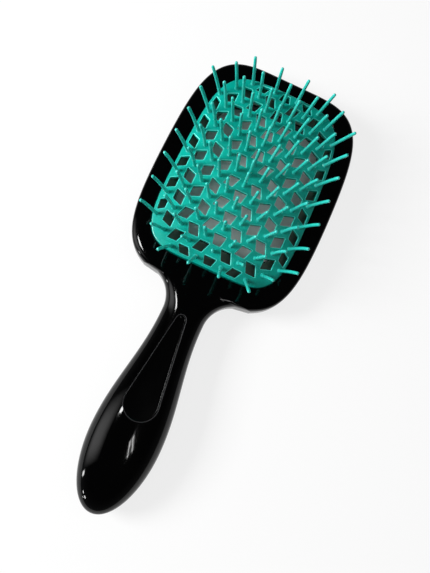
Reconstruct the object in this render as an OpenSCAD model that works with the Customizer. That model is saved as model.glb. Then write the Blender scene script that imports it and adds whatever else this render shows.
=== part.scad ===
// Paddle detangling brush. A glossy two-shell frame with a hollow-backed head
// and a swelling handle clamps a domed, open lattice pad. Long tapered pins
// are moulded in one with the pad and fan out from it.
// The brush lies on its back: +Z up through the pins, +Y from the handle to
// the head, origin under the middle of its length.

/* [Head] */
// Width of the head at its widest place
head_w = 86; // [82:1:94]
// Length of the head from its top edge to the shoulders
head_l = 110.5; // [107:0.5:124]
// How far the widest place lies below the middle of the head
wide_drop = 5; // [0:1:10]
// Height of the front shell above the seam round the head
rim_rise = 5.6; // [5:0.1:8]
// Depth of the back shell below the seam
back_depth = 9; // [7:0.5:12]

/* [Handle] */
// Length of the handle from the shoulders to its end
handle_l = 108.3; // [95:0.1:130]
// Width of the neck at its narrowest place
neck_w = 20.4; // [17:0.2:24]
// Distance from the shoulders down to the neck
neck_drop = 17; // [16:0.5:24]
// Radius of the fillets between the shoulders and the neck
shoulder_r = 15; // [10:0.5:16]
// How far the shoulders' own curve dips below the head's length
shoulder_dip = 1.2; // [0.5:0.1:3]
// Width of the handle at its widest place
bulb_w = 33; // [27:0.5:40]
// Distance from the shoulders down to the widest place
bulb_drop = 73.5; // [60:0.5:85]
// Height of the neck above the seam
neck_rise = 7.4; // [6.5:0.1:9]
// Height of the handle's widest place above the seam
bulb_rise = 10.5; // [8:0.1:13]
// Depth of the neck below the seam
neck_depth = 7.2; // [5.5:0.1:8.5]

/* [Thumb recess] */
// Distance from the shoulders down to the recess
recess_drop = 15; // [12:0.5:20]
// Length of the teardrop recess
recess_l = 50; // [35:0.5:54]
// Width of the recess at its round end
recess_w = 15.4; // [9:0.2:18]
// Width of the recess at its narrow end
recess_tip_w = 4.4; // [2:0.2:6]
// Depth of the recess floor below the handle's crest
recess_depth = 1.7; // [0.9:0.1:2.4]

/* [Pad] */
// Width of the head rim left and right of the pad
rim_w = 9; // [8:0.2:10]
// Width of the head rim above and below the pad
rim_end_w = 8.6; // [8:0.1:9.6]
// Height of the middle of the pad above the seam
pad_rise = 12.2; // [10.5:0.1:15]
// Radius of the pad's dome across the head
dome_r = 123; // [100:1:180]
// Radius of the pad's dome along the head
dome_long_r = 293; // [220:1:400]
// Thickness of the lattice
lattice_t = 2; // [1.4:0.1:2.8]
// Thickness of the wall that carries the pad
pad_wall_t = 1.2; // [1:0.1:1.6]
// How far the clamped flange reaches out from the wall
flange_w = 2.2; // [1.4:0.1:2.6]
// Thickness of the clamped flange
flange_t = 1.6; // [1:0.1:2.2]
// Clearance between the pad and the front shell
pad_gap = 0.3; // [0.2:0.05:0.4]

/* [Lattice and pins] */
// Spacing of the lattice columns
pitch_x = 6.2; // [5.9:0.1:6.4]
// Spacing of the lattice rows
pitch_y = 5.5; // [5.2:0.1:5.7]
// Width of one diamond hole
hole_w = 4.8; // [3.4:0.1:5]
// Height of one diamond hole
hole_h = 5; // [3.4:0.1:5.2]
// Sideways slant of the diamond holes
hole_slant = 1; // [0:0.1:1.4]
// Length of a pin from the lattice to its tip
pin_l = 18.9; // [12:0.1:22]
// Diameter of a pin near its tip
pin_tip_d = 1.25; // [1:0.05:1.6]
// Diameter of a pin above its foot
pin_base_d = 1.8; // [1.6:0.05:2.2]
// Diameter of the flared foot of a pin
pin_foot_d = 3; // [2.4:0.1:3.4]
// Extra outward lean of the row nearest the handle, in degrees
last_row_lean = 15; // [0:1:20]
// Extra outward lean of the outermost columns, in degrees
last_column_lean = 5; // [0:1:10]

/* [Rear window] */
// Width of the window in the back shell
window_w = 56; // [40:1:60]
// Length of the window in the back shell
window_l = 72; // [50:1:80]
// How far the window sits above the middle of the head
window_rise = 2; // [-3:0.5:3]

/* [Locating pegs] */
// Diameter of the pegs that line up the two shells
peg_d = 4; // [3:0.2:5]
// Length of the pegs above the seam
peg_l = 4; // [2:0.2:4.4]
// Clearance round a peg in its socket
peg_gap = 0.2; // [0.1:0.05:0.3]

/* [Hidden] */
$fn = 96;

shell_colour = [0.03, 0.03, 0.035];
pad_colour = [0.1, 0.76, 0.68];

// Exponents of the superellipses that shape the outlines and edges
head_n = 4.6;
edge_n = 7;
grip_n = 2.2;
pad_n = 5;
window_n = 5;
// How tightly two outlines melt into one where they cross
melt_n = 8;
// Narrowing of the head's sides towards its ends
head_bow_share = 0.07;
// Narrowing of the pad and its lattice towards the top of the head
pad_taper_share = 0.09;
// Width of a centre-column hole at its outer and inner edges, as shares of the column spacing
narrow_share = 0.3;
wide_share = 0.48;
// Slant of a side hole against that of an upright one
side_slant_share = 0.93;
// How near to the pad's outline a lattice site may lie
site_share = 0.9;
// Closed border outside the edge holes, as a share of the wall's thickness
border_share = 1.15;
// Lean of the row before the last, as a share of the last row's
next_row_share = 0.35;
// Foot of a pin: heights as shares of the foot's diameter
foot_shares = [0, 0.12, 0.3, 0.6];
// Radii between the foot and the shaft at those heights
flare_shares = [1, 0.6, 0.25, 0];
// Radii and heights of the rounded tip, as shares of its radius
tip_shares = [[1, 0], [0.94, 0.35], [0.76, 0.66], [0.5, 0.88], [0.3, 0.96], [0, 0.96]];
// Places of the two pegs along the handle
peg_neck_share = 0.07;
peg_bulb_share = 0.75;

overrun = 1;
brush_l = head_l + handle_l;
head_half = head_l / 2;
pad_y = handle_l / 2;
seam_z = back_depth;
pad_half_w = head_w / 2 - rim_w;
pad_half_l = head_half - rim_end_w;
peg_sink = peg_gap + peg_l;
columns = floor(pad_half_w / pitch_x);
rows = floor(pad_half_l / pitch_y);

function ease(t) = (1 - cos(180 * max(0, min(1, t)))) / 2;
function blend(a, b, t) = a + (b - a) * ease(t);
function round_off(t, n) = pow(max(0, 1 - pow(min(1, abs(t)), n)), 1 / n);
function power(v, p) = sign(v) * pow(abs(v), p);

// Distance below the shoulders of a place y, measured from the middle of the head
function below(y) = -head_half - y;
function tip_t(d) = max(0, d - bulb_drop) / (handle_l - bulb_drop);

// Half width of the frame at y: the head, the neck's fillets and the handle melt together
function head_side(y) =
    head_w / 2 * (1 - head_bow_share * pow((y + wide_drop) / head_half, 2))
        * (y > 0 ? round_off(y / head_half, head_n)
            : round_off(y / (head_half + shoulder_dip), head_n));
function fillet_side(d) = d >= shoulder_r ? 0
    : shoulder_r - sqrt(pow(shoulder_r, 2) - pow(shoulder_r - max(0, d), 2));
function grip_side(d) = blend(neck_w, bulb_w, (d - neck_drop) / (bulb_drop - neck_drop)) / 2
    * round_off(tip_t(d), 2) * (1 - ease(-d / head_half));
function melt(a, b) = pow(pow(a, melt_n) + pow(b, melt_n), 1 / melt_n);
function frame_side(y) = y > 0 ? head_side(y)
    : melt(head_side(y), grip_side(below(y)) + fillet_side(below(y)) * (1 - ease(-below(y) / head_half)));

// Height or depth of the frame's crest at y, from a rim, a neck and a bulb value
function crest(y, rim, neck, bulb) = let(d = below(y))
    (d < neck_drop ? blend(rim, neck, (d + neck_drop) / (2 * neck_drop))
        : blend(neck, bulb, (d - neck_drop) / (bulb_drop - neck_drop)))
    * (y > 0 ? round_off(y / head_half, edge_n) : 1) * round_off(tip_t(d), 2);
function edge_power(y) = blend(edge_n, grip_n, (below(y) + neck_drop) / (2 * neck_drop));

// Places along the brush at which the shells are cut into sections
function spread(a, b, n) = [for (i = [0 : n - 1]) a + (b - a) * i / n];
function spread_in(a, b, n) = [for (i = [0 : n - 1]) a + (b - a) * (1 - cos(90 * i / n))];
function spread_out(a, b, n) = [for (i = [0 : n - 1]) a + (b - a) * sin(90 * i / n)];
bulb_y = -head_half - bulb_drop;
neck_y = -head_half - neck_drop;
end_y = -head_half - handle_l;
flare_y = -head_half - shoulder_r / 3;
corner_y = -head_half + shoulder_r / 2;
places = concat(
    [for (y = spread_in(end_y, bulb_y, 12)) if (y > end_y) y],
    spread(bulb_y, neck_y, 13),
    spread(neck_y, flare_y, 6),
    spread(flare_y, corner_y, 14),
    spread_in(corner_y, 0, 9),
    spread_out(0, head_half, 18));

// One half of the frame: sections along y, closed by a flat seam and two end points
module frame_half(rim, neck, bulb, floor_depth) {
    n = 24;
    sections = len(places);
    points = concat(
        [for (y = places) for (i = [0 : n])
            let(a = 180 * i / n, p = 2 / edge_power(y))
            [frame_side(y) * power(cos(a), p), y,
                min(floor_depth, crest(y, rim, neck, bulb) * power(sin(a), p))]],
        [[0, end_y, 0], [0, head_half, 0]]);
    first_end = sections * (n + 1);
    faces = concat(
        [for (j = [0 : sections - 2]) for (i = [0 : n - 1]) for (f = [0, 1])
            let(a = j * (n + 1) + i, b = a + n + 1)
            f == 0 ? [a, b, a + 1] : [b, b + 1, a + 1]],
        [for (j = [0 : sections - 2]) for (f = [0, 1])
            let(a = j * (n + 1), b = a + n + 1)
            f == 0 ? [a, a + n, b] : [a + n, b + n, b]],
        [for (i = [0 : n - 1]) [first_end, i, i + 1]],
        [[first_end, n, 0]],
        [for (i = [0 : n - 1]) [first_end + 1, (sections - 1) * (n + 1) + i + 1,
            (sections - 1) * (n + 1) + i]],
        [[first_end + 1, (sections - 1) * (n + 1), (sections - 1) * (n + 1) + n]]);
    polyhedron(points, faces, convexity = 8);
}

// Outline of the pad, grown outwards by g
function pad_side(y) = 1 - pad_taper_share * pow((y / pad_half_l + 1) / 2, 3);
module pad_outline(g) {
    polygon([for (i = [0 : 79]) let(a = 360 * i / 80, y = (pad_half_l + g) * power(sin(a), 2 / pad_n))
        [(pad_half_w + g) * pad_side(y) * power(cos(a), 2 / pad_n), y]]);
}

module window_outline() {
    polygon([for (i = [0 : 63]) let(a = 360 * i / 64)
        [window_w / 2 * power(cos(a), 2 / window_n), window_l / 2 * power(sin(a), 2 / window_n)]]);
}

// Height of the dome's crown line over the seam, t below the outer surface
function dome_z(x, y, t) = let(ring_r = dome_long_r - dome_r,
        rho = ring_r + sqrt(pow(dome_r - t, 2) - x * x))
    pad_rise - dome_long_r + sqrt(rho * rho - y * y);

// Everything under the dome, t below its outer surface
module dome(t) {
    reach = asin((pad_half_l + 2 * overrun) / (dome_long_r - dome_r));
    translate([0, 0, pad_rise - dome_long_r])
        rotate([90, 0, 90])
            rotate([0, 0, 90 - reach])
                rotate_extrude(angle = 2 * reach)
                    intersection() {
                        translate([dome_long_r - dome_r, 0]) circle(r = dome_r - t, $fn = 240);
                        translate([dome_long_r - 2 * pad_rise - overrun, -pad_half_w - 2 * overrun])
                            square([3 * pad_rise, 2 * pad_half_w + 4 * overrun]);
                    }
}

// Lattice sites: holes and pins take turns, and the middle one is a pin
function fits(u, v) = pow(abs(u) * pitch_x / pad_half_w, pad_n)
    + pow(abs(v) * pitch_y / pad_half_l, pad_n) < site_share;
function even(u, v) = (u + v) % 2 == 0;
sites = [for (u = [-columns : columns]) for (v = [-rows : rows]) if (fits(u, v)) [u, v]];
hole_sites = [for (s = sites) if (even(s[0], s[1]) && s != [0, 0]) s];
pin_sites = [for (s = sites) if (!even(s[0], s[1]) || s == [0, 0]) s];
last_row = max([for (s = pin_sites) abs(s[1])]);
last_column = max([for (s = pin_sites) abs(s[0])]);

// Which way a hole slants: the pattern mirrors about both middle lines
function slant(u, v) = hole_slant * sign(u) * (v < 0 ? -1 : 1) * (abs(u) % 2 == 1 ? 1 : -1);
// Holes near the middle column and in the end corners stand upright
function upright(u, v) = abs(u) == 1 || (abs(u) == 2 && abs(v) >= 6) || (abs(u) == 3 && abs(v) >= 5);

function hole_shape(u, v) = let(w = hole_w / 2, h = hole_h / 2, s = slant(u, v), t = s * side_slant_share)
    u == 0 ? [[-pitch_x * narrow_share, sign(v) * h], [pitch_x * narrow_share, sign(v) * h],
        [pitch_x * wide_share, -sign(v) * h], [-pitch_x * wide_share, -sign(v) * h]]
    : upright(u, v) ? [[-w - s, -h], [w - s, -h], [w + s, h], [-w + s, h]]
    : [[-w, -h - t], [w, -h + t], [w, h + t], [-w, h - t]];
// The edge holes stop short of the pad's wall
function inside(x, y) = let(border = border_share * pad_wall_t,
        row = min(abs(y), pad_half_l - border),
        side = pad_half_w * pad_side(y) * round_off(row / pad_half_l, pad_n) - border,
        column = min(abs(x), side),
        end = pad_half_l * round_off(column / pad_half_w, pad_n) - border)
    [sign(x) * column, sign(y) * min(row, end)];
module hole(u, v) {
    polygon([for (p = hole_shape(u, v))
        inside((u * pitch_x + p[0]) * pad_side(v * pitch_y), v * pitch_y + p[1])]);
}

// One pin with a flared foot and a rounded tip, sunk into the lattice
module pin() {
    sink = lattice_t / 2;
    base_r = pin_base_d / 2;
    tip_r = pin_tip_d / 2;
    rotate_extrude($fn = 24)
        polygon(concat(
            [[0, -sink], [pin_foot_d / 2, -sink]],
            [for (i = [0 : 3]) [base_r + (pin_foot_d / 2 - base_r) * flare_shares[i],
                pin_foot_d * foot_shares[i]]],
            [for (s = tip_shares) [tip_r * s[0], pin_l - tip_r + tip_r * s[1]]]));
}

module pins() {
    for (s = pin_sites) {
        y = s[1] * pitch_y;
        x = s[0] * pitch_x * pad_side(y);
        rho = sqrt(dome_r * dome_r - x * x) + dome_long_r - dome_r;
        row_share = s[1] == -last_row ? 1 : s[1] == 1 - last_row ? next_row_share : 0;
        column_share = abs(s[0]) == last_column ? sign(s[0]) : 0;
        lean_x = asin(x / dome_r) + last_column_lean * column_share;
        lean_y = asin(y / rho) - last_row_lean * row_share;
        translate([x, y, dome_z(x, y, 0)])
            rotate([-lean_y, 0, 0])
                rotate([0, lean_x, 0])
                    pin();
    }
}

module pad_body() {
    difference() {
        union() {
            intersection() {
                linear_extrude(pad_rise + overrun) pad_outline(0);
                dome(0);
            }
            linear_extrude(flange_t) pad_outline(flange_w);
        }
        intersection() {
            translate([0, 0, -overrun]) linear_extrude(pad_rise + overrun) pad_outline(-pad_wall_t);
            dome(lattice_t);
        }
        for (s = hole_sites)
            translate([0, 0, dome_z(s[0] * pitch_x, s[1] * pitch_y, 0) - 3 * lattice_t])
                linear_extrude(6 * lattice_t) hole(s[0], s[1]);
    }
}

// Teardrop outline with its narrow end at the origin, running down to -length
module teardrop(length) {
    r = recess_tip_w / 2;
    big_r = recess_w / 2;
    a = asin((big_r - r) / (length - r - big_r));
    polygon(concat(
        [for (i = [0 : 10]) let(b = a + (180 - 2 * a) * i / 10) [r * cos(b), r * sin(b) - r]],
        [for (i = [0 : 24]) let(b = 180 - a + (180 + 2 * a) * i / 24)
            [big_r * cos(b), big_r * sin(b) + big_r - length]]));
}

// Teardrop cutter whose flat floor follows the handle's crest
module recess() {
    y0 = -head_half - recess_drop;
    y1 = y0 - recess_l;
    z0 = crest(y0, rim_rise, neck_rise, bulb_rise) - recess_depth;
    z1 = crest(y1 + recess_w / 2, rim_rise, neck_rise, bulb_rise) - recess_depth;
    tilt = atan2(z1 - z0, recess_l - recess_w / 2);
    translate([0, y0, z0])
        rotate([-tilt, 0, 0])
            linear_extrude(bulb_rise)
                teardrop(recess_l / cos(tilt));
}

module pegs(d, l) {
    for (share = [peg_neck_share, peg_bulb_share])
        translate([0, -head_half - handle_l * share, 0]) cylinder(d = d, h = l);
}

module front_shell() {
    color(shell_colour)
        translate([0, pad_y, seam_z])
            difference() {
                frame_half(rim_rise, neck_rise, bulb_rise, bulb_rise);
                translate([0, 0, -overrun])
                    linear_extrude(rim_rise + neck_rise) pad_outline(pad_gap);
                translate([0, 0, -overrun])
                    linear_extrude(flange_t + pad_gap + overrun) pad_outline(flange_w + pad_gap);
                recess();
                translate([0, 0, -overrun]) pegs(peg_d + 2 * peg_gap, peg_sink + overrun);
            }
}

module back_shell() {
    color(shell_colour)
        translate([0, pad_y, seam_z])
            union() {
                difference() {
                    mirror([0, 0, 1])
                        frame_half(back_depth * 1.04, neck_depth, back_depth, back_depth);
                    translate([0, window_rise, -back_depth - overrun])
                        linear_extrude(back_depth + 2 * overrun) window_outline();
                }
                translate([0, 0, -overrun]) pegs(peg_d, peg_l + overrun);
            }
}

module pin_pad() {
    color(pad_colour)
        translate([0, pad_y, seam_z])
            union() {
                pad_body();
                pins();
            }
}

front_shell();
back_shell();
pin_pad();
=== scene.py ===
"""A paddle detangling brush: gloss black frame in two shells, teal lattice pad with long fanned pins."""

import bpy
import numpy as np
from mathutils import Matrix, Vector
from mathutils.geometry import delaunay_2d_cdt


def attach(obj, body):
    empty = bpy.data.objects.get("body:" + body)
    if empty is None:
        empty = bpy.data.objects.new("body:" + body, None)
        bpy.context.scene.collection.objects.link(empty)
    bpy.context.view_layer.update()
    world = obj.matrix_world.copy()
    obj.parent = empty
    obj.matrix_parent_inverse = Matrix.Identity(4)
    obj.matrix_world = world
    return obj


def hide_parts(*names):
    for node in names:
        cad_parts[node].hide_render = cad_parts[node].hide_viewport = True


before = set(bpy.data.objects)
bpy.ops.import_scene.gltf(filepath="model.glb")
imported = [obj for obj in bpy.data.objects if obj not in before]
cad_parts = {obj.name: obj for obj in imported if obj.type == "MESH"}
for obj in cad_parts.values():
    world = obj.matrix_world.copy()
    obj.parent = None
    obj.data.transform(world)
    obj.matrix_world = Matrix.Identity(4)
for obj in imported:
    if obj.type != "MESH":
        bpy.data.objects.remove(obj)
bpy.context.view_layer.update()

# Sizes in mm, as the part's source has them. Here y = 0 is the head's middle and z = 0 the seam.
MM = 0.001

# Head
HEAD_W = 86
DRAWN_HEAD_W = 85.97  # a hair narrower, so that the smooth outline stays inside the CAD's box
HEAD_L = 110.5
WIDE_DROP = 5
RIM_RISE = 5.6
BACK_DEPTH = 9

# Handle
HANDLE_L = 108.3
NECK_W = 20.4
NECK_DROP = 17
SHOULDER_R = 15
SHOULDER_DIP = 1.2
BULB_W = 33
BULB_DROP = 73.5
NECK_RISE = 7.4
BULB_RISE = 10.5
NECK_DEPTH = 7.2

# Thumb recess
RECESS_DROP = 15
RECESS_L = 50
RECESS_W = 15.4
RECESS_TIP_W = 4.4
RECESS_DEPTH = 1.7
RECESS_DRAFT = 0.12  # how far the wall leans in

# Pad
RIM_W = 9
RIM_END_W = 8.6
PAD_RISE = 12.2
DOME_R = 123
DOME_LONG_R = 293
LATTICE_T = 2
PAD_WALL_T = 1.2
PAD_INNER = 0.8  # inset of the wall's inner side, which stays clear of the holes' lips
FLANGE_W = 2.2
FLANGE_T = 1.6
PAD_GAP = 0.3

# Lattice and pins
PITCH_X = 6.2
PITCH_Y = 5.5
HOLE_W = 4.8
HOLE_H = 5
HOLE_SLANT = 1
HOLE_BORDER = 1.15 * PAD_WALL_T  # how near to the pad's outline a hole may come
PIN_L = 18.9
PIN_TIP_D = 1.25
PIN_BASE_D = 1.8
LAST_ROW_LEAN = 15
LAST_COLUMN_LEAN = 5

# How the drawn pins differ from the source's straight ones
PIN_SHORTER = 0.06
TIP_R_MORE = 0.1
BASE_R_LESS = 0.08
FLARE_AT = [-0.9, -0.15, 0.05, 0.25, 0.55, 0.95, 1.5, 2.2]  # distances from the dome's face
FLARE = [0.5, 0.42, 0.26, 0.14, 0.06, 0.02, 0, 0]  # how much the radius grows there
BEND_SPREAD = 0.07
BEND_AT = 0.62  # share of the length where a pin bends most
OUTER_BEND_LEFT = 0.42
OUTER_BEND_RIGHT = 0.25
TIP_SPREAD = 0.1

# Rear window
WINDOW_W = 56
WINDOW_L = 72
WINDOW_RISE = 2

# Radii of the small roundings
LIP_R = 0.45
WINDOW_LIP_R = 0.6
RECESS_LIP_R = 0.4
RECESS_FOOT_R = 0.55
SEAM_R = 0.2
SEAM_SHARE = 0.4  # the most of a shell's height that its seam's rounding takes
HOLE_CORNER_R = 0.3
HOLE_LIP_R = 0.32
HOLE_LOW_LIP_R = 0.12
PAD_EDGE_R = 0.4

# Exponents of the superellipses that shape the outlines and edges
HEAD_N = 4.6
EDGE_N = 7
GRIP_N = 2.2
PAD_N = 5
WINDOW_N = 5
MELT_N = 8
REST_N = 80

# Shares, as in the source
HEAD_BOW_SHARE = 0.07
PAD_TAPER_SHARE = 0.09
BACK_BULGE = 1.04
NARROW_SHARE = 0.3
WIDE_SHARE = 0.48
SIDE_SLANT_SHARE = 0.93
SITE_LIMIT = 0.9
UPRIGHT_FROM = {1: 0, 2: 6, 3: 5}  # the row from which a column's holes stand upright
NEXT_ROW_SHARE = 0.35

# Numbers of points and steps
OUTLINE_POINTS = 84
OUTLINE_ROWS = 56
TEARDROP_BIG_POINTS = 30
TEARDROP_FLANK_POINTS = 40
TEARDROP_SMALL_POINTS = 20
SECTION_POINTS = 30
PAD_SIDES = 200
PIN_SIDES = 16
PIN_RINGS = 17
LIP_STEPS = 5

HEAD_HALF = HEAD_L / 2
PAD_Y = HANDLE_L / 2
SEAM_Z = BACK_DEPTH
PAD_HALF_W = HEAD_W / 2 - RIM_W
PAD_HALF_L = HEAD_HALF - RIM_END_W
END_Y = -HEAD_HALF - HANDLE_L
COLUMNS = int(PAD_HALF_W // PITCH_X)
ROWS = int(PAD_HALF_L // PITCH_Y)

# Places of the materials on each piece, where the first is the main one
MAIN = 0
# the recess's edge is drawn in a paler grey: a painted highlight on its rounded lip
RECESS_FLOOR, RECESS_EDGE = 1, 2
# the back shell's ledge under the pad is black plastic tinted teal-grey: a painted reflection of the pad
LEDGE = 1
# the holes' upper lips are drawn in a paler teal: a painted highlight along their rounded edges
# the pins are drawn in a paler teal than the lattice: painted light, as if their sides caught the lamp
LIP_HIGHLIGHT, PIN = 1, 2


# The frame's surface

def ease(t):
    return (1 - np.cos(np.pi * np.clip(t, 0, 1))) / 2


def mix(a, b, t):
    return a + (b - a) * ease(t)


def round_off(t, n):
    """Width of a superellipse at share t of its half length, as a share of its full width."""
    return np.maximum(0, 1 - np.minimum(1, np.abs(t)) ** n) ** (1 / n)


def quarter(steps, first=0):
    """Angles of a quarter turn in even steps."""
    return [np.pi / 2 * s / steps for s in range(first, steps + 1)]


def below(y):
    """Distance from the shoulders towards the handle's end."""
    return -HEAD_HALF - y


def tip_t(d):
    """Share of the way from the handle's widest place to its end."""
    return np.maximum(0, d - BULB_DROP) / (HANDLE_L - BULB_DROP)


def head_side(y):
    bow = 1 - HEAD_BOW_SHARE * ((y + WIDE_DROP) / HEAD_HALF) ** 2
    upper = round_off(y / HEAD_HALF, HEAD_N)
    lower = round_off(y / (HEAD_HALF + SHOULDER_DIP), HEAD_N)
    return DRAWN_HEAD_W / 2 * bow * np.where(y > 0, upper, lower)


def frame_side(y):
    """Half width of the frame: the head, and the handle melted into it through filleted shoulders."""
    y = np.asarray(y, float)
    d = below(y)
    inner = np.sqrt(np.maximum(0, SHOULDER_R ** 2 - (SHOULDER_R - np.clip(d, 0, SHOULDER_R)) ** 2))
    fillet = np.where(d >= SHOULDER_R, 0, SHOULDER_R - inner)
    fade = 1 - ease(-d / HEAD_HALF)
    swell = mix(NECK_W, BULB_W, (d - NECK_DROP) / (BULB_DROP - NECK_DROP))
    grip = swell / 2 * round_off(tip_t(d), 2) * fade
    low = (head_side(y) ** MELT_N + (grip + fillet * fade) ** MELT_N) ** (1 / MELT_N)
    return np.where(y > 0, head_side(y), low)


def crest(y, rim, neck, bulb):
    """Height of a shell's middle line over the head's rim, the neck and the handle's swelling."""
    d = below(y)
    upper = mix(rim, neck, (d + NECK_DROP) / (2 * NECK_DROP))
    lower = mix(neck, bulb, (d - NECK_DROP) / (BULB_DROP - NECK_DROP))
    top_edge = np.where(y > 0, round_off(y / HEAD_HALF, EDGE_N), 1)
    return np.where(d < NECK_DROP, upper, lower) * top_edge * round_off(tip_t(d), 2)


def edge_power(y):
    return mix(EDGE_N, GRIP_N, (below(y) + NECK_DROP) / (2 * NECK_DROP))


def front_height(y):
    return crest(y, RIM_RISE, NECK_RISE, BULB_RISE)


def back_height(y):
    return crest(y, BACK_DEPTH * BACK_BULGE, NECK_DEPTH, BACK_DEPTH)


def front_point(y, a):
    """A point of the section at y. The angle a runs from the seam to the middle line."""
    p = 2 / edge_power(y)
    return np.stack([frame_side(y) * np.cos(a) ** p, y + 0 * a, front_height(y) * np.sin(a) ** p], -1)


def back_point(y, a):
    """The same for the underside, flattened softly where it rests."""
    p = 2 / edge_power(y)
    depth = np.maximum(1e-6, back_height(y) * np.sin(a) ** p)
    depth = (depth ** -REST_N + float(BACK_DEPTH) ** -REST_N) ** (-1 / REST_N)
    return np.stack([frame_side(y) * np.cos(a) ** p, y + 0 * a, -depth], -1)


def surface_normal(point, y, a):
    """Outward normal of point(y, a) for x >= 0, by small steps along y and a."""
    h = np.clip(0.3 * np.minimum(HEAD_HALF - y, y - END_Y), 1e-7, 2e-3)
    e = 1e-4
    a = np.clip(a, 2 * e, np.pi / 2 - 2 * e)
    along = (point(y + h, a) - point(y - h, a)) / h[..., None]
    across = point(y, a + e) - point(y, a - e)
    n = np.cross(along, across)
    n /= np.maximum(1e-12, np.linalg.norm(n, axis=-1))[..., None]
    flip = np.sign(n[..., 2] * point(y, a)[..., 2] + n[..., 0] * 1e-3)
    return n * np.where(flip == 0, 1, flip)[..., None]


# Outlines of the openings: their right half from low y to high y, with outward normals

def superellipse_half(half_w, half_l, n, taper, middle_y):
    row_span, least_gap = 0.96, 2e-4
    a = np.radians(np.linspace(-90, 90, OUTLINE_POINTS))
    round_rows = np.sign(np.sin(a)) * np.abs(np.sin(a)) ** (2 / n)
    y = np.concatenate([round_rows, np.linspace(-row_span, row_span, OUTLINE_ROWS)]) * half_l
    y = np.unique(np.round(y, 5))
    y = y[np.concatenate([[True], np.diff(y) > least_gap])]
    y[0], y[-1] = -half_l, half_l

    def value(x, yy):
        return (np.abs(x) / (half_w * taper(yy))) ** n + (np.abs(yy) / half_l) ** n

    x = half_w * taper(y) * round_off(y / half_l, n)
    x[0] = x[-1] = 0
    h = 1e-5
    grad = np.stack([(value(x + h, y) - value(x - h, y)), (value(x, y + h) - value(x, y - h))], -1)
    grad /= np.linalg.norm(grad, axis=-1)[:, None]
    return np.stack([x, y + middle_y], -1), grad


def no_taper(y):
    return np.ones_like(np.asarray(y, float))


def pad_taper(y):
    return 1 - PAD_TAPER_SHARE * ((y / PAD_HALF_L + 1) / 2) ** 3


def teardrop_half():
    small, big = RECESS_TIP_W / 2, RECESS_W / 2
    top = -HEAD_HALF - RECESS_DROP
    lean = np.arcsin((big - small) / (RECESS_L - small - big))

    def arc(angles, r, middle_y):
        c, s = np.cos(angles), np.sin(angles)
        return np.stack([r * c, r * s + middle_y, c, s], -1)

    low = arc(np.linspace(-np.pi / 2, lean, TEARDROP_BIG_POINTS), big, top - RECESS_L + big)
    high = arc(np.linspace(lean, np.pi / 2, TEARDROP_SMALL_POINTS), small, top - small)
    t = np.linspace(0, 1, TEARDROP_FLANK_POINTS + 2)[1:-1, None]
    flank = low[-1] + (high[0] - low[-1]) * t
    flank[:, 2:] = [np.cos(lean), np.sin(lean)]
    full = np.concatenate([low, flank, high])
    full[0, 0] = full[-1, 0] = 0
    return full[:, :2], full[:, 2:]


# Mesh making

class Shape:
    """Collects points with their normals, and faces with their place in the piece's materials."""

    def __init__(self):
        self.points = []
        self.normals = []
        self.faces = []
        self.flat_normals = []
        self.finish = []

    def add(self, points, normals):
        """Adds a run of points and returns their numbers."""
        start = sum(len(run) for run in self.points)
        points = np.asarray(points, float).reshape(-1, 3)
        self.points.append(points)
        self.normals.append(np.broadcast_to(np.asarray(normals, float), points.shape))
        return start + np.arange(len(points))

    def face(self, corners, normal=None, finish=MAIN):
        """A face. Where normal is given, all its corners take it."""
        kept = [c for i, c in enumerate(corners) if c != corners[i - 1]]
        if len(set(kept)) >= 3:
            self.faces.append([int(c) for c in kept])
            self.flat_normals.append(normal)
            self.finish.append(finish)

    def band(self, one, two, normal=None, finish=MAIN):
        """Quads between two runs of points of the same length."""
        for i in range(len(one) - 1):
            self.face([one[i], one[i + 1], two[i + 1], two[i]], normal, finish)

    def build(self, name):
        """The mesh object, with each face turned to the side that its normals point to."""
        points = np.concatenate(self.points)
        normals = np.concatenate(self.normals)
        faces, corner_normals = [], []
        for face, flat in zip(self.faces, self.flat_normals):
            want = normals[face].mean(0) if flat is None else np.asarray(flat, float)
            p = points[face]
            area = sum(np.cross(p[i] - p[0], p[i + 1] - p[0]) for i in range(1, len(face) - 1))
            if np.dot(area, want) < 0:
                face = face[::-1]
            faces.append(face)
            corner_normals.extend(normals[face] if flat is None else [flat] * len(face))
        mesh = bpy.data.meshes.new(name)
        mesh.from_pydata(((points + [0, PAD_Y, SEAM_Z]) * MM).tolist(), [], faces)
        mesh.polygons.foreach_set("use_smooth", [True] * len(faces))
        mesh.polygons.foreach_set("material_index", self.finish)
        mesh.update()
        mesh.normals_split_custom_set([tuple(n) for n in corner_normals])
        return linked(name, mesh)


def linked(name, data):
    """A new object in the scene."""
    obj = bpy.data.objects.new(name, data)
    bpy.context.scene.collection.objects.link(obj)
    return obj


def mirrored(points):
    return np.asarray(points) * [-1, 1, 1]


def paired(shape, p, n):
    """The same run of points on the right and on the left, sharing the two on the middle line."""
    n = np.broadcast_to(n, p.shape)
    right = shape.add(p, n)
    left = shape.add(mirrored(p), mirrored(n))
    for k in (0, -1):
        if abs(p[k, 0]) < 1e-9:
            left[k] = right[k]
    return right, left


def join(shape, one, two, finish=MAIN):
    """Bands between two paired runs, on the right and on the left."""
    shape.band(one[0], two[0], finish=finish)
    shape.band(one[1], two[1], finish=finish)


# The two shells

def even_angles(point, y, low, high):
    """Angles along the section at y, spaced by its length and by how fast it turns."""
    samples, turn_weight = 500, 5
    t = np.linspace(0, 1, samples)
    a = low + (high - low) * (3 * t ** 2 - 2 * t ** 3)
    step = np.diff(point(np.full_like(a, y), a), axis=0)
    length = np.linalg.norm(step, axis=1)
    unit = step / np.maximum(1e-9, length)[:, None]
    turn = np.concatenate([[0], np.arccos(np.clip((unit[1:] * unit[:-1]).sum(1), -1, 1))])
    measure = np.concatenate([[0], np.cumsum(length + turn_weight * turn)])
    return np.interp(np.linspace(0, measure[-1], SECTION_POINTS), measure, a)


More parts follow.
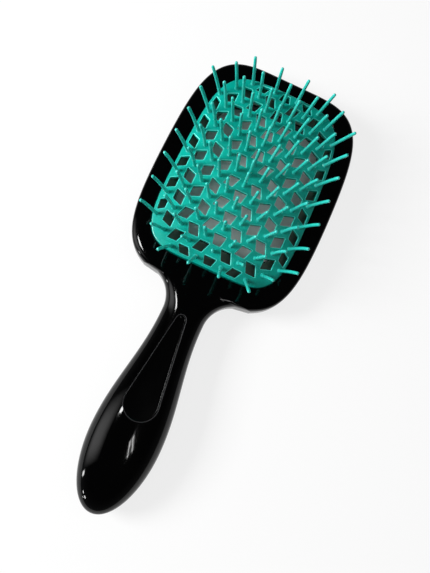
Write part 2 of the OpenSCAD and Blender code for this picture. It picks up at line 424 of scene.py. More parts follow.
def frame_rows(openings):
    """Places of the sections: plain ones, and one at each point of an opening's offset outline."""
    head_points, end_points = 60, 46
    row_step, shoulder_step = 1.2, 0.35
    turn = np.sin(np.radians(np.linspace(2, 89.7, head_points)))
    end_turn = np.sin(np.radians(np.linspace(0, 89.6, end_points)))
    plain = np.unique(np.concatenate([
        HEAD_HALF * turn ** (2 / HEAD_N),
        HEAD_HALF * turn ** (2 / EDGE_N),
        -(HEAD_HALF + SHOULDER_DIP) * turn ** (2 / HEAD_N),
        -HEAD_HALF - BULB_DROP - (HANDLE_L - BULB_DROP) * end_turn,
        np.arange(END_Y + 2, HEAD_HALF - 2, row_step),
        np.arange(-HEAD_HALF - SHOULDER_R, -HEAD_HALF + SHOULDER_R, shoulder_step)]))
    plain = plain[(plain > END_Y + 1e-3) & (plain < HEAD_HALF - 1e-3)]
    rows = []
    clear = 0.02
    for number, (outline, normal, r) in enumerate(openings):
        offset = outline + normal * r
        rows += [(y, x, number, i) for i, (x, y) in enumerate(offset)]
        plain = plain[(plain < offset[0, 1] - clear) | (plain > offset[-1, 1] + clear)]
    # rows lie closer together where the head's top rounds off
    usual_gap, top_gap, top_zone = 0.12, 0.004, 1.5
    last = -np.inf
    for y in plain:
        to_top = HEAD_HALF - y
        least = top_gap * min(1, 4 * to_top + 0.05) if to_top < top_zone else usual_gap
        if y - last > least:
            rows.append((y, 0.0, None, None))
            last = y
    return sorted(rows)


def section(shape, point, y, x_in):
    """The points at y from the seam up to x_in, on the right and on the left."""
    p = edge_power(y)
    side = float(frame_side(y))
    height = abs(float(point(np.array(y), np.array(np.pi / 2))[2]))
    seam = min(SEAM_R, SEAM_SHARE * height)
    low = np.arcsin(min(1, (seam / height) ** (p / 2)))
    high = np.arccos(min(1, (x_in / side)) ** (p / 2)) if x_in > 0 else np.pi / 2
    a = even_angles(point, y, low, high)
    points = point(np.full_like(a, y), a)
    normals = surface_normal(point, np.full_like(a, y), a)
    points[-1, 0] = x_in
    if x_in == 0:
        normals[-1, 0] = 0
    # the rounded foot at the seam
    h = 1e-4 * min(1, HEAD_HALF - y, y - END_Y)
    slope = float(frame_side(y + h) - frame_side(y - h)) / (2 * h)
    out = np.array([1, -slope, 0]) / np.hypot(1, slope)
    foot = points[0] - out * seam
    foot[0] = max(0, foot[0])
    foot[2] = 0
    to_seam = 1 if points[-1, 2] < 0 else -1
    halfway = 0.7 * (out + [0, 0, to_seam])
    points = np.vstack([foot, points])
    normals = np.vstack([halfway, normals])
    right = shape.add(points, normals)
    left = shape.add(mirrored(points), mirrored(normals))
    if x_in == 0:
        left[-1] = right[-1]
    return right, left


def frame_shell(shape, point, openings):
    """The outer surface in two halves. Returns the rows and the points' numbers, right and left."""
    rows = frame_rows(openings)
    right, left = (list(side) for side in zip(*(section(shape, point, y, x_in) for y, x_in, _, _ in rows)))
    for j in range(len(rows) - 1):
        shape.band(right[j], right[j + 1])
        shape.band(left[j], left[j + 1])
    seam_inset = 0.1
    for k, end, way in ((0, END_Y, -1), (-1, HEAD_HALF, 1)):
        tip = np.concatenate(shape.points)[right[k]] * [0, 0, 1] + [0, end, 0]
        tip[0, 1] -= way * seam_inset
        ids = shape.add(tip, np.tile([0.0, way, 0.0], (len(tip), 1)))
        shape.band(right[k], ids)
        shape.band(left[k], ids)
        at = 0 if k == 0 else len(rows)
        rows.insert(at, (end, 0.0, None, None))
        right.insert(at, ids)
        left.insert(at, ids)
    return rows, right, left


def edge_ring(shape, net, number, opening, down, finish=MAIN):
    """A rounded lip from the surface to the wall of an opening. down is -1 or 1, into the material.

    Returns the rows that meet the opening, the lip's last ring and its heights, and the wall's normals."""
    rows, right, left = net
    outline, normal, r = opening
    index = [k for k, row in enumerate(rows) if row[2] == number]
    starts = np.array([right[k][-1] for k in index])
    top = np.concatenate(shape.points)[starts]
    top_normal = np.concatenate(shape.normals)[starts]
    inward = -np.column_stack([normal, np.zeros(len(normal))])
    last = (starts, np.array([left[k][-1] for k in index]))
    for f in quarter(LIP_STEPS, 1):
        plan = outline + normal * r * (1 - np.sin(f))
        p = np.column_stack([plan, top[:, 2] + down * r * (1 - np.cos(f))])
        ring = paired(shape, p, np.cos(f) * top_normal + np.sin(f) * inward)
        join(shape, last, ring, finish)
        last = ring
    return index, last, top[:, 2] + down * r, inward


def seam_face(shape, net, index, inner, way, finish=MAIN):
    """The flat face at the seam, from the outline to the opening that the rows in index meet."""
    rows, right, left = net
    meets = set(index)
    for k in range(len(rows) - 1):
        if k in meets and k + 1 in meets:
            i = rows[k][3]
            for side, edge in zip((right, left), inner):
                shape.face([side[k][0], side[k + 1][0], edge[i + 1], edge[i]], way, finish)
        else:
            shape.face([right[k][0], right[k + 1][0], left[k + 1][0], left[k][0]], way, finish)
    for k, i in ((index[0], 0), (index[-1], -1)):
        shape.face([right[k][0], left[k][0], inner[0][i]], way, finish)


def add_recess(shape, net, recess):
    """The thumb recess: rounded lip, drafted wall, filleted foot and flat floor."""
    _, last, lip_z, inward = edge_ring(shape, net, 1, recess, -1, RECESS_EDGE)
    outline, normal, _ = recess
    high_y = -HEAD_HALF - RECESS_DROP
    low_y = high_y - RECESS_L + RECESS_W / 2
    high_z, low_z = (float(front_height(np.array(y))) - RECESS_DEPTH for y in (high_y, low_y))
    slope = (low_z - high_z) / (low_y - high_y)
    floor_normal = np.array([0, -slope, 1]) / np.hypot(1, slope)
    least_step = 0.02
    for s, f in enumerate(quarter(LIP_STEPS)):
        plan = outline - normal * (RECESS_DRAFT + RECESS_FOOT_R * (1 - np.cos(f)))
        z = high_z + slope * (plan[:, 1] - high_y) + RECESS_FOOT_R * (1 - np.sin(f))
        p = np.column_stack([plan, np.minimum(z, lip_z - least_step * (s + 1))])
        p[0, 0] = p[-1, 0] = 0
        ring = paired(shape, p, np.cos(f) * inward + np.sin(f) * floor_normal)
        join(shape, last, ring, RECESS_FLOOR if s > LIP_STEPS // 2 else MAIN)
        last = ring
    right, left = last
    for i in range(len(outline) - 1):
        shape.face([right[i], right[i + 1], left[i + 1], left[i]], tuple(floor_normal), RECESS_FLOOR)


def make_front():
    shape = Shape()
    half_w, half_l = PAD_HALF_W + PAD_GAP, PAD_HALF_L + PAD_GAP
    pad_opening = (*superellipse_half(half_w, half_l, PAD_N, pad_taper, 0), LIP_R)
    recess = (*teardrop_half(), RECESS_LIP_R)
    net = frame_shell(shape, front_point, [pad_opening, recess])
    index, lip_end, _, inward = edge_ring(shape, net, 0, pad_opening, -1)
    wall_foot = paired(shape, np.column_stack([pad_opening[0], np.zeros(len(index))]), inward)
    join(shape, lip_end, wall_foot)
    seam_face(shape, net, index, wall_foot, (0, 0, -1))
    add_recess(shape, net, recess)
    return shape.build("front_frame")


def make_back():
    shape = Shape()
    outline, normal = superellipse_half(WINDOW_W / 2, WINDOW_L / 2, WINDOW_N, no_taper, WINDOW_RISE)
    window = (outline, normal, WINDOW_LIP_R)
    net = frame_shell(shape, back_point, [window])
    index, last, _, inward = edge_ring(shape, net, 0, window, 1)
    for f in quarter(LIP_STEPS):
        plan = outline + normal * WINDOW_LIP_R * (1 - np.cos(f))
        z = np.full(len(outline), -WINDOW_LIP_R * (1 - np.sin(f)))
        ring = paired(shape, np.column_stack([plan, z]), np.cos(f) * inward + [0, 0, np.sin(f)])
        join(shape, last, ring)
        last = ring
    seam_face(shape, net, index, last, (0, 0, 1), LEDGE)
    return shape.build("back_frame")


# The pad

def dome_z(x, y, t=0.0):
    """Height of the dome's face, or of the face t under it."""
    rho = DOME_LONG_R - DOME_R + np.sqrt((DOME_R - t) ** 2 - x * x)
    return PAD_RISE - DOME_LONG_R + np.sqrt(rho * rho - y * y)


def dome_normal(x, y, t=0.0):
    inner = np.sqrt((DOME_R - t) ** 2 - x * x)
    rho = DOME_LONG_R - DOME_R + inner
    root = np.sqrt(rho * rho - y * y)
    n = np.stack([rho / root * x / inner, y / root, np.ones_like(root)], -1)
    return n / np.linalg.norm(n, axis=-1)[..., None]


def lattice_sites():
    """Holes and pins take turns, and the middle site is a pin."""
    sites = [(u, v) for u in range(-COLUMNS, COLUMNS + 1) for v in range(-ROWS, ROWS + 1)
             if abs(u * PITCH_X / PAD_HALF_W) ** PAD_N + abs(v * PITCH_Y / PAD_HALF_L) ** PAD_N < SITE_LIMIT]
    holes = [(u, v) for u, v in sites if (u + v) % 2 == 0 and (u, v) != (0, 0)]
    return holes, [site for site in sites if site not in holes]


def hole_shape(u, v):
    """Corners of a hole round its own middle: upright ones near the middle column, sideways ones outside."""
    w, h = HOLE_W / 2, HOLE_H / 2
    s = HOLE_SLANT * np.sign(u) * (-1 if v < 0 else 1) * (1 if abs(u) % 2 else -1)
    t = s * SIDE_SLANT_SHARE
    if u == 0:
        g = np.sign(v) * h
        narrow, wide = PITCH_X * NARROW_SHARE, PITCH_X * WIDE_SHARE
        return [(-narrow, g), (narrow, g), (wide, -g), (-wide, -g)]
    if abs(v) >= UPRIGHT_FROM.get(abs(u), ROWS + 1):
        return [(-w - s, -h), (w - s, -h), (w + s, h), (-w + s, h)]
    return [(-w, -h - t), (w, -h + t), (w, h + t), (-w, h - t)]


def hole_polygon(u, v):
    """A hole in its place, drawn in with the pad's taper and stopped short of its wall."""
    corners = []
    for px, py in hole_shape(u, v):
        x, y = (u * PITCH_X + px) * pad_taper(v * PITCH_Y), v * PITCH_Y + py
        row = min(abs(y), PAD_HALF_L - HOLE_BORDER)
        widest = PAD_HALF_W * pad_taper(y) * round_off(row / PAD_HALF_L, PAD_N)
        column = min(abs(x), widest - HOLE_BORDER)
        longest = PAD_HALF_L * round_off(column / PAD_HALF_W, PAD_N)
        corners.append((np.sign(x) * column, np.sign(y) * min(row, longest - HOLE_BORDER)))
    return corners


def pad_outline(grow):
    """Points of the pad's outline grown by grow, with their outward normals."""
    a = np.radians(np.arange(PAD_SIDES) * 360 / PAD_SIDES)
    y = (PAD_HALF_L + grow) * np.sign(np.sin(a)) * np.abs(np.sin(a)) ** (2 / PAD_N)
    x = (PAD_HALF_W + grow) * pad_taper(y) * np.sign(np.cos(a)) * np.abs(np.cos(a)) ** (2 / PAD_N)
    ring = np.stack([x, y], -1)
    step = np.roll(ring, -1, 0) - np.roll(ring, 1, 0)
    normal = np.stack([step[:, 1], -step[:, 0]], -1)
    return ring, normal / np.linalg.norm(normal, axis=1)[:, None]


def rounded(corners, radius, grow):
    """A polygon with rounded corners, grown by grow: points and outward normals, counter-clockwise."""
    corner_points = 5
    side_shares = np.array([[0.3], [0.7]])
    c = np.array(corners, float)
    following = np.roll(c, -1, 0)
    if (c[:, 0] * following[:, 1] - following[:, 0] * c[:, 1]).sum() < 0:
        c = c[::-1]
    edge = np.roll(c, -1, 0) - c
    n = np.stack([edge[:, 1], -edge[:, 0]], -1)
    n /= np.linalg.norm(n, axis=1)[:, None]
    arcs = []
    for k in range(len(c)):
        n0, n1 = n[k - 1], n[k]
        middle = c[k] - (n0 + n1) * radius / (1 + n0 @ n1)
        a0, a1 = np.arctan2(n0[1], n0[0]), np.arctan2(n1[1], n1[0])
        a = np.linspace(a0, a1 + 2 * np.pi if a1 < a0 else a1, corner_points)
        way = np.stack([np.cos(a), np.sin(a)], -1)
        arcs.append((middle + (radius + grow) * way, way))
    points, normals = [], []
    for k, (arc, way) in enumerate(arcs):
        one, two = arc[-1], arcs[(k + 1) % len(arcs)][0][0]
        points += [arc, one + (two - one) * side_shares]
        normals += [way, np.repeat(n[k:k + 1], len(side_shares), 0)]
    return np.concatenate(points), np.concatenate(normals)


def inner_points(edge, rings):
    """Points that fill the dome evenly between its edge and the holes."""
    half_w, half_l = 34, 46.5
    step = 1.15
    stagger = 0.5
    inset = 0.5
    clear = 0.35
    across, along = (np.arange(-half, half + 0.1, step) for half in (half_w, half_l))
    grid = np.stack(np.meshgrid(across, along), -1).reshape(-1, 2)
    grid[:, 0] += stagger * (np.round(grid[:, 1] / step) % 2)
    width, length = np.abs(edge).max(0) - inset
    room = (np.abs(grid[:, 0]) / (width * pad_taper(grid[:, 1]))) ** PAD_N
    free = room + (np.abs(grid[:, 1]) / length) ** PAD_N < 1
    for points, normals in rings:
        free &= ((grid[:, None] - points[None]) * normals[None]).sum(2).max(1) > clear
    return grid[free]


def lattice_face(shape, holes, edge, grow, t, sign):
    """The dome's outer or inner face between the holes. Returns the numbers of its edge and of the rings."""
    rings = [rounded(hole, HOLE_CORNER_R, grow) for hole in holes]
    runs = [edge] + [points for points, _ in rings]
    plan = np.concatenate(runs + [inner_points(edge, rings)])
    ends = np.cumsum([len(run) for run in runs])
    areas = [list(range(end - len(run), end)) for run, end in zip(runs, ends)]
    out, _, faces, origin, _, within = delaunay_2d_cdt([Vector(p) for p in plan], [], areas, 0, 1e-6)
    out = np.array([tuple(p) for p in out])
    ids = shape.add(np.column_stack([out, dome_z(*out.T, t)]), dome_normal(*out.T, t) * sign)
    for face, areas_of in zip(faces, within):
        # only the edge's area, so outside every hole
        if list(areas_of) == [0]:
            shape.face([ids[i] for i in face])
    place = {number: ids[i] for i, numbers in enumerate(origin) for number in numbers}
    found = [np.array([place[number] for number in area]) for area in areas]
    return found[0], found[1:]


def loop(ids):
    return np.append(ids, ids[0])


def lip(shape, last, hole, z, up, grow, steps, t, finish):
    """Rounds a hole's rim from the dome's face into the hole. Returns the last ring."""
    for f in quarter(steps, 1):
        points, normals = rounded(hole, HOLE_CORNER_R, grow * (1 - np.sin(f)))
        wall = -np.column_stack([normals, np.zeros(len(normals))])
        p = np.column_stack([points, z - up * grow * (1 - np.cos(f))])
        now = shape.add(p, np.cos(f) * up * dome_normal(*points.T, t) + np.sin(f) * wall)
        shape.band(loop(last), loop(now), finish=finish)
        last = now
    return last


def pin_axis(u, v):
    """Foot on the dome and direction of a pin, as in the part's source."""
    y = v * PITCH_Y
    x = u * PITCH_X * pad_taper(y)
    rho = np.sqrt(DOME_R ** 2 - x * x) + DOME_LONG_R - DOME_R
    row_share = {-ROWS: 1, 1 - ROWS: NEXT_ROW_SHARE}.get(v, 0)
    column_share = np.sign(u) if abs(u) == COLUMNS else 0
    lean_x = np.arcsin(x / DOME_R) + np.radians(LAST_COLUMN_LEAN) * column_share
    lean_y = np.arcsin(y / rho) - np.radians(LAST_ROW_LEAN) * row_share
    d = np.array([np.sin(lean_x), np.cos(lean_x) * np.sin(lean_y), np.cos(lean_x) * np.cos(lean_y)])
    return np.array([x, y, float(dome_z(x, y))]), d


def sweep(shape, centres, ways, radii):
    """A tube with a point at its far end and normals that follow its taper."""
    a = np.arange(PIN_SIDES) * 2 * np.pi / PIN_SIDES
    length = np.concatenate([[0], np.cumsum(np.linalg.norm(np.diff(centres, axis=0), axis=1))])
    slope = np.gradient(radii, length)
    last = None
    for c, d, r, k in zip(centres, ways, radii, slope):
        side = np.cross(d, [0, 1, 0])
        side /= np.linalg.norm(side)
        out = np.cos(a)[:, None] * side + np.sin(a)[:, None] * np.cross(side, d)
        normal = out - k * d
        now = shape.add(c + r * out, normal / np.linalg.norm(normal, axis=1)[:, None])
        if last is not None:
            shape.band(loop(last), loop(now), finish=PIN)
        last = now
    point_share = 0.4
    tip = shape.add(centres[-1] + ways[-1] * radii[-1] * point_share, ways[-1])[0]
    for i in range(PIN_SIDES):
        shape.face([last[i], last[(i + 1) % PIN_SIDES], tip], finish=PIN)


def pin_profile():
    """Distances along a pin and its radii there: a flared foot, a slight taper and a round tip."""
    tip_r = PIN_TIP_D / 2 + TIP_R_MORE
    base_r = PIN_BASE_D / 2 - BASE_R_LESS
    cap = np.radians([18, 36, 54, 70, 82])
    cap_start = PIN_L - PIN_SHORTER - tip_r
    shaft = np.linspace(FLARE_AT[-1] + 1, cap_start, PIN_RINGS)
    along = np.concatenate([FLARE_AT, shaft, cap_start + tip_r * np.sin(cap)])
    waist_at, waist_share = 3, 0.96
    taper = np.interp(along, [0, waist_at, PIN_L], [base_r, base_r * waist_share, tip_r])
    radii = taper + np.interp(along, FLARE_AT, FLARE)
    radii[-len(cap):] = tip_r * np.cos(cap)
    return along, radii, len(cap)


def make_pins(shape, pins):
    """The pins, each with its own slight bend. The outer ones bend more, towards the middle."""
    rng = np.random.default_rng(11)
    lengthways_share = 0.7
    along, radii, cap_rings = pin_profile()
    outer = {}
    for u, v in pins:
        outer[v] = max(outer.get(v, 0), abs(u))
    q = np.clip(along / PIN_L, 0, 1)
    rise = np.sin(np.pi / 2 * q / BEND_AT)
    fall = np.cos(np.pi / 2 * (q - BEND_AT) / (1 - BEND_AT))
    bow = np.where(q < BEND_AT, rise, fall)[:, None]
    for u, v in pins:
        foot, d = pin_axis(u, v)
        s = np.cross(d, [0, 1, 0])
        s /= np.linalg.norm(s)
        t = np.cross(s, d)
        away = np.array([foot[0], foot[1] * lengthways_share, 0])
        away -= d * np.dot(away, d)
        size = np.linalg.norm(away)
        away = away / size if size > 1 else s
        bend = rng.normal(0, BEND_SPREAD)
        if abs(u) == outer[v] or abs(v) >= ROWS - 1:
            bend += OUTER_BEND_LEFT if u < 0 else OUTER_BEND_RIGHT
        wander = rng.normal(0, TIP_SPREAD, 2)
        drift = (q ** 2)[:, None] * (wander[0] * s + wander[1] * t)
        centres = foot + along[:, None] * d - bend * bow * away + drift
        way = np.gradient(centres, axis=0)
        way /= np.linalg.norm(way, axis=1)[:, None]
        way[-cap_rings:] = way[-cap_rings - 1]
        sweep(shape, centres, way, radii)


def add_pad_wall(shape, top, top_z, top_edge, low, low_edge):
    """The pad's rounded edge, its outer wall, the clamped flange and the inner wall."""
    outline, out = pad_outline(0)
    brim, _ = pad_outline(FLANGE_W)
    flat = np.column_stack([out, np.zeros(len(out))])

    def level(ring, z, normal):
        return shape.add(np.column_stack([ring, np.full(len(ring), z)]), normal)

    last = top
    for f in quarter(LIP_STEPS, 1):
        plan = outline - out * PAD_EDGE_R * (1 - np.sin(f))
        p = np.column_stack([plan, top_z - PAD_EDGE_R * (1 - np.cos(f))])
        now = shape.add(p, np.cos(f) * dome_normal(*top_edge.T) + np.sin(f) * flat)
        shape.band(loop(last), loop(now))
        last = now
    foot = level(outline, FLANGE_T, flat)
    shape.band(loop(last), loop(foot))
    brim_top = level(brim, FLANGE_T, (0, 0, 1))
    brim_low = level(brim, 0, (0, 0, -1))
    shape.band(loop(foot), loop(brim_top), normal=(0, 0, 1))
    shape.band(loop(brim_top), loop(brim_low))
    inner_foot = level(low_edge, 0, -flat)
    shape.band(loop(brim_low), loop(inner_foot), normal=(0, 0, -1))
    shape.band(loop(inner_foot), loop(low))


def make_pad():
    upper_steps, lower_steps = 4, 2
    hole_sites, pins = lattice_sites()
    holes = [hole_polygon(u, v) for u, v in hole_sites]
    shape = Shape()
    top_edge, _ = pad_outline(-PAD_EDGE_R)
    low_edge, _ = pad_outline(-PAD_INNER)
    top, top_rings = lattice_face(shape, holes, top_edge, HOLE_LIP_R, 0.0, 1)
    low, low_rings = lattice_face(shape, holes, low_edge, HOLE_LOW_LIP_R, LATTICE_T, -1)
    z = np.concatenate(shape.points)[:, 2]
    for hole, one, two in zip(holes, top_rings, low_rings):
        upper = lip(shape, one, hole, z[one], 1, HOLE_LIP_R, upper_steps, 0.0, LIP_HIGHLIGHT)
        lower = lip(shape, two, hole, z[two], -1, HOLE_LOW_LIP_R, lower_steps, LATTICE_T, MAIN)
        shape.band(loop(upper), loop(lower))
    add_pad_wall(shape, top, z[top], top_edge, low, low_edge)
    make_pins(shape, pins)
    return shape.build("pin_lattice")


# Materials

def material(name):
    mat = bpy.data.materials.new(name)
    mat.use_nodes = True
    nodes, links = mat.node_tree.nodes, mat.node_tree.links
    return mat, nodes, links, nodes["Principled BSDF"]


def noise(nodes, links, scale, detail, rough=0.5, stretch=(1, 1, 1)):
    where = nodes.new("ShaderNodeTexCoord")
    mapping = nodes.new("ShaderNodeMapping")
    mapping.inputs["Scale"].default_value = stretch
    tex = nodes.new("ShaderNodeTexNoise")
    tex.inputs["Scale"].default_value = scale
    tex.inputs["Detail"].default_value = detail
    tex.inputs["Roughness"].default_value = rough
    links.new(where.outputs["Object"], mapping.inputs["Vector"])
    links.new(mapping.outputs["Vector"], tex.inputs["Vector"])
    return tex.outputs["Fac"]


def ramp(nodes, links, value, low, high, to_low, to_high):
    node = nodes.new("ShaderNodeMapRange")
    for key, number in (("From Min", low), ("From Max", high), ("To Min", to_low), ("To Max", to_high)):
        node.inputs[key].default_value = number
    links.new(value, node.inputs["Value"])
    return node.outputs["Result"]


def colour_mix(nodes, links, fac, a, b):
    node = nodes.new("ShaderNodeMix")
    node.data_type = "RGBA"
    node.inputs["A"].default_value = (*a, 1)
    node.inputs["B"].default_value = (*b, 1)
    links.new(fac, node.inputs["Factor"])
    return node.outputs["Result"]


def bump(nodes, links, shader, height, strength, distance):
    node = nodes.new("ShaderNodeBump")
    node.inputs["Strength"].default_value = strength
    node.inputs["Distance"].default_value = distance
    links.new(height, node.inputs["Height"])
    links.new(node.outputs["Normal"], shader.inputs["Normal"])


def math_node(nodes, links, operation, *values):
    """A math node fed by sockets and plain numbers."""
    node = nodes.new("ShaderNodeMath")
    node.operation = operation
    for slot, value in zip(node.inputs, values):
        if isinstance(value, bpy.types.NodeSocket):
            links.new(value, slot)
        else:
            slot.default_value = value
    return node.outputs[0]


def gloss_black(name, rough_low, rough_high, dark, light):
    mat, nodes, links, shader = material(name)
    tone = noise(nodes, links, scale=28, detail=3)
    links.new(colour_mix(nodes, links, tone, dark, light), shader.inputs["Base Color"])
    smear = noise(nodes, links, scale=55, detail=6, rough=0.65, stretch=(1, 0.35, 1))
    links.new(ramp(nodes, links, smear, 0.42, 0.72, rough_low, rough_high), shader.inputs["Roughness"])
    bump(nodes, links, shader, noise(nodes, links, scale=420, detail=2), strength=0.02, distance=0.0004)
    shader.inputs["Specular IOR Level"].default_value = 0.28
    return mat


def satin_teal(name, dark, light):
    mat, nodes, links, shader = material(name)
    tone = ramp(nodes, links, noise(nodes, links, scale=45, detail=4), 0.35, 0.65, 0, 1)
    links.new(colour_mix(nodes, links, tone, dark, light), shader.inputs["Base Color"])
    rough = ramp(nodes, links, noise(nodes, links, scale=160, detail=4), 0.3, 0.7, 0.2, 0.3)
    links.new(rough, shader.inputs["Roughness"])
    bump(nodes, links, shader, noise(nodes, links, scale=1500, detail=3), strength=0.05, distance=0.0002)
    shader.inputs["Specular IOR Level"].default_value = 0.5
    shader.inputs["Subsurface Weight"].default_value = 0.3
    shader.inputs["Subsurface Radius"].default_value = (0.2, 1, 0.8)
    shader.inputs["Subsurface Scale"].default_value = 0.0012
    return mat


JET = ((0.0004, 0.0004, 0.0005), (0.0012, 0.0012, 0.0013))
black = gloss_black("gloss_black_plastic", 0.05, 0.12, *JET)
dull = gloss_black("recess_floor_plastic", 0.12, 0.22, *JET)
# a paler grey for the recess's lip: a painted highlight where its rounded edge would catch light
recess_edge_highlight = gloss_black("recess_edge_painted_highlight_plastic", 0.3, 0.4, (0.03, 0.03, 0.032), (0.06, 0.06, 0.063))
# black plastic tinted teal-grey: a painted reflection of the teal pad, seen through the edge holes
ledge_teal_reflection = gloss_black("ledge_painted_teal_reflection_plastic", 0.35, 0.5, (0.1, 0.15, 0.12), (0.13, 0.19, 0.155))
teal = satin_teal("satin_teal_plastic", (0, 0.33, 0.265), (0.002, 0.45, 0.365))
# a paler teal for the holes' upper lips: a painted highlight where their rounded edges catch light
hole_lip_highlight = satin_teal("hole_lip_painted_highlight_plastic", (0.05, 0.68, 0.6), (0.1, 0.8, 0.7))
# a paler teal for the pins: painted light on their sides, the same plastic as the lattice
pin_painted_light_teal = satin_teal("pin_plastic_painted_lighter", (0.02, 0.5, 0.43), (0.05, 0.62, 0.54))

# Pieces, with their materials in the order of the places named above
front, back, pad = make_front(), make_back(), make_pad()
for piece, node, slot, mats in ((front, "front_shell", "shell", (black, dull, recess_edge_highlight)),
                                (back, "back_shell", "shell", (black, ledge_teal_reflection)),
                                (pad, "pin_pad", "pad", (teal, hole_lip_highlight, pin_painted_light_teal))):
    for mat in mats:
        piece.data.materials.append(mat)
    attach(piece, "root")
    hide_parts(node)


# Floor, world, lamps and camera

def make_floor():
    """A pale floor that looks nearly white and keeps a soft shadow.

    Under the head, where it shows through the lattice, it is plain."""
    half = 3
    share_of_glow = 0.8
    head_x, head_y, middle_y = 0.043, 0.056, 0.054
    plain_until, glow_from = 0.88, 1.02
    mesh = bpy.data.meshes.new("floor")
    corners = [(-half, -half, 0), (half, -half, 0), (half, half, 0), (-half, half, 0)]
    mesh.from_pydata(corners, [], [(0, 1, 2, 3)])
    mat, nodes, links, shader = material("pale_floor")
    tone = noise(nodes, links, scale=3, detail=2)
    colour = colour_mix(nodes, links, tone, (0.92, 0.92, 0.92), (0.95, 0.95, 0.95))
    links.new(colour, shader.inputs["Base Color"])
    shader.inputs["Roughness"].default_value = 0.9
    shader.inputs["Specular IOR Level"].default_value = 0.1
    # distance from the head's middle, where 1 is the head's outline
    where, mapping, far = (nodes.new("ShaderNode" + kind) for kind in ("TexCoord", "Mapping", "VectorMath"))
    mapping.inputs["Location"].default_value = (0, -middle_y / head_y, 0)
    mapping.inputs["Scale"].default_value = (1 / head_x, 1 / head_y, 0)
    far.operation = "LENGTH"
    links.new(where.outputs["Object"], mapping.inputs["Vector"])
    links.new(mapping.outputs["Vector"], far.inputs[0])
    path = nodes.new("ShaderNodeLightPath").outputs
    seen = math_node(nodes, links, "MAXIMUM", path["Is Camera Ray"], path["Is Glossy Ray"])
    seen = math_node(nodes, links, "MAXIMUM", seen, path["Is Transmission Ray"])
    beside = ramp(nodes, links, far.outputs["Value"], plain_until, glow_from, 0, share_of_glow)
    blend = nodes.new("ShaderNodeMixShader")
    links.new(math_node(nodes, links, "MULTIPLY", seen, beside), blend.inputs[0])
    links.new(shader.outputs[0], blend.inputs[1])
    links.new(nodes.new("ShaderNodeEmission").outputs[0], blend.inputs[2])
    links.new(blend.outputs[0], nodes["Material Output"].inputs["Surface"])
    mesh.materials.append(mat)
    return linked("floor", mesh)


def make_world():
    """A dim sky, brightest at the horizon, which the camera sees as white."""
    world = bpy.data.worlds.new("world")
    bpy.context.scene.world = world
    world.use_nodes = True
    nodes, links = world.node_tree.nodes, world.node_tree.links
    sky = nodes["Background"]
    sky.inputs["Color"].default_value = (0.97, 0.99, 1, 1)
    split = nodes.new("ShaderNodeSeparateXYZ")
    links.new(nodes.new("ShaderNodeTexCoord").outputs["Generated"], split.inputs["Vector"])
    white = nodes.new("ShaderNodeMix")
    white.inputs["B"].default_value = 1
    links.new(nodes.new("ShaderNodeLightPath").outputs["Is Camera Ray"], white.inputs["Factor"])
    horizon, horizon_strength = 0, 0.12
    high, high_strength = 0.6, 0.02
    dim = ramp(nodes, links, split.outputs["Z"], horizon, high, horizon_strength, high_strength)
    links.new(dim, white.inputs["A"])
    links.new(white.outputs["Result"], sky.inputs["Strength"])


def soften(data):
    """Fades a lamp's light towards its edges."""
    fade_width, blend_width, gain = 0.3, 0.2, 13
    data.use_nodes = True
    nodes, links = data.node_tree.nodes, data.node_tree.links
    split = nodes.new("ShaderNodeSeparateXYZ")
    links.new(nodes.new("ShaderNodeNewGeometry").outputs["Parametric"], split.inputs["Vector"])
    fades = []
    for place in split.outputs[:2]:
        from_edge = math_node(nodes, links, "PINGPONG", place, 0.5)
        fades.append(math_node(nodes, links, "SMOOTH_MIN", from_edge, fade_width, blend_width))
    both = math_node(nodes, links, "MULTIPLY", *fades)
    strength = math_node(nodes, links, "MULTIPLY", both, gain)
    links.new(strength, nodes["Emission"].inputs["Strength"])


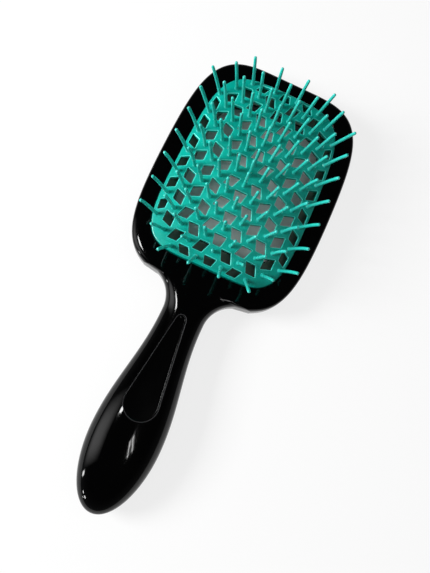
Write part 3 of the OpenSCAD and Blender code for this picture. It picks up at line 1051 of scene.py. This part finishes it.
def lamp(name, target, direction, size, power, lit=None, glossy=True, soft=False, distance=0.9):
    """An area lamp aimed at target. Its direction is in degrees round from +X and degrees up.

    It lights only the pieces in lit, where these are given. Sizes are in metres and power in watts."""
    data = bpy.data.lights.new(name, "AREA")
    data.shape = "RECTANGLE"
    data.size, data.size_y = size
    data.energy = power
    obj = linked(name, data)
    a, h = np.radians(direction)
    way = Vector((np.cos(h) * np.cos(a), np.cos(h) * np.sin(a), np.sin(h)))
    obj.location = Vector(target) + way * distance
    obj.rotation_euler = (-way).to_track_quat("-Z", "Y").to_euler()
    obj.visible_glossy = glossy
    if soft:
        soften(data)
    if lit:
        group = bpy.data.collections.new(name + "_lights")
        for piece in lit:
            group.objects.link(piece)
        obj.light_linking.receiver_collection = group


def make_camera():
    """The photo's camera, fitted to it by the outline and the lattice. Places are in mm."""
    data = bpy.data.cameras.new("camera")
    camera = linked("camera", data)
    data.sensor_fit = "VERTICAL"
    data.sensor_height = 24
    data.lens = 26.597
    place = Vector((7.49, -48.90, 297.07))
    aim = Vector((7.369, 4.706, 0))
    roll = np.radians(24.921)
    turn = (aim - place).to_track_quat("-Z", "Y").to_matrix().to_4x4()
    camera.matrix_world = Matrix.Translation(place * MM) @ turn @ Matrix.Rotation(roll, 4, "Z")
    bpy.context.scene.camera = camera


floor = make_floor()
make_world()
make_camera()

# Places that lamps aim at, in metres
heart = (0, 0.02, 0.01)
grip = (-0.008, -0.024, 0.018)
crest_middle = (0.004, -0.04, 0.02)
butt = (-0.012, -0.09, 0.014)
shoulder = (-0.032, 0.06, 0.014)

# The key lights the pad and the floor. The shells mirror lamps of their own, as windows in a dark room.
pale, gloss = (pad, floor), (front, back)
lamp("key", heart, (198, 32), (0.36, 0.3), 12.4, pale)
lamp("panel", grip, (195, 31), (0.6, 0.84), 3.4, gloss, soft=True)
lamp("spot", butt, (214, 13), (0.08, 0.2), 1.3, gloss, soft=True)
GLINT_POWER = 90  # watts per square metre
for azimuth, height, side in ((233, 13, 0.055), (242, 15, 0.07), (238, 5, 0.035)):
    lamp("glint", butt, (azimuth, height), (side, side), GLINT_POWER * side ** 2, gloss)
for azimuth in (-33, -47):
    lamp("window_bar", crest_middle, (azimuth, 74), (0.014, 0.2), 0.3, gloss)
lamp("shoulder_window", shoulder, (187, 62), (0.1, 0.09), 1.2, gloss)
lamp("fill_top", heart, (100, 80), (0.9, 0.9), 1.4, glossy=False, distance=1)
lamp("fill_right", heart, (20, 50), (0.9, 0.9), 1.2, glossy=False, distance=1)

bpy.context.scene.view_settings.view_transform = "Standard"
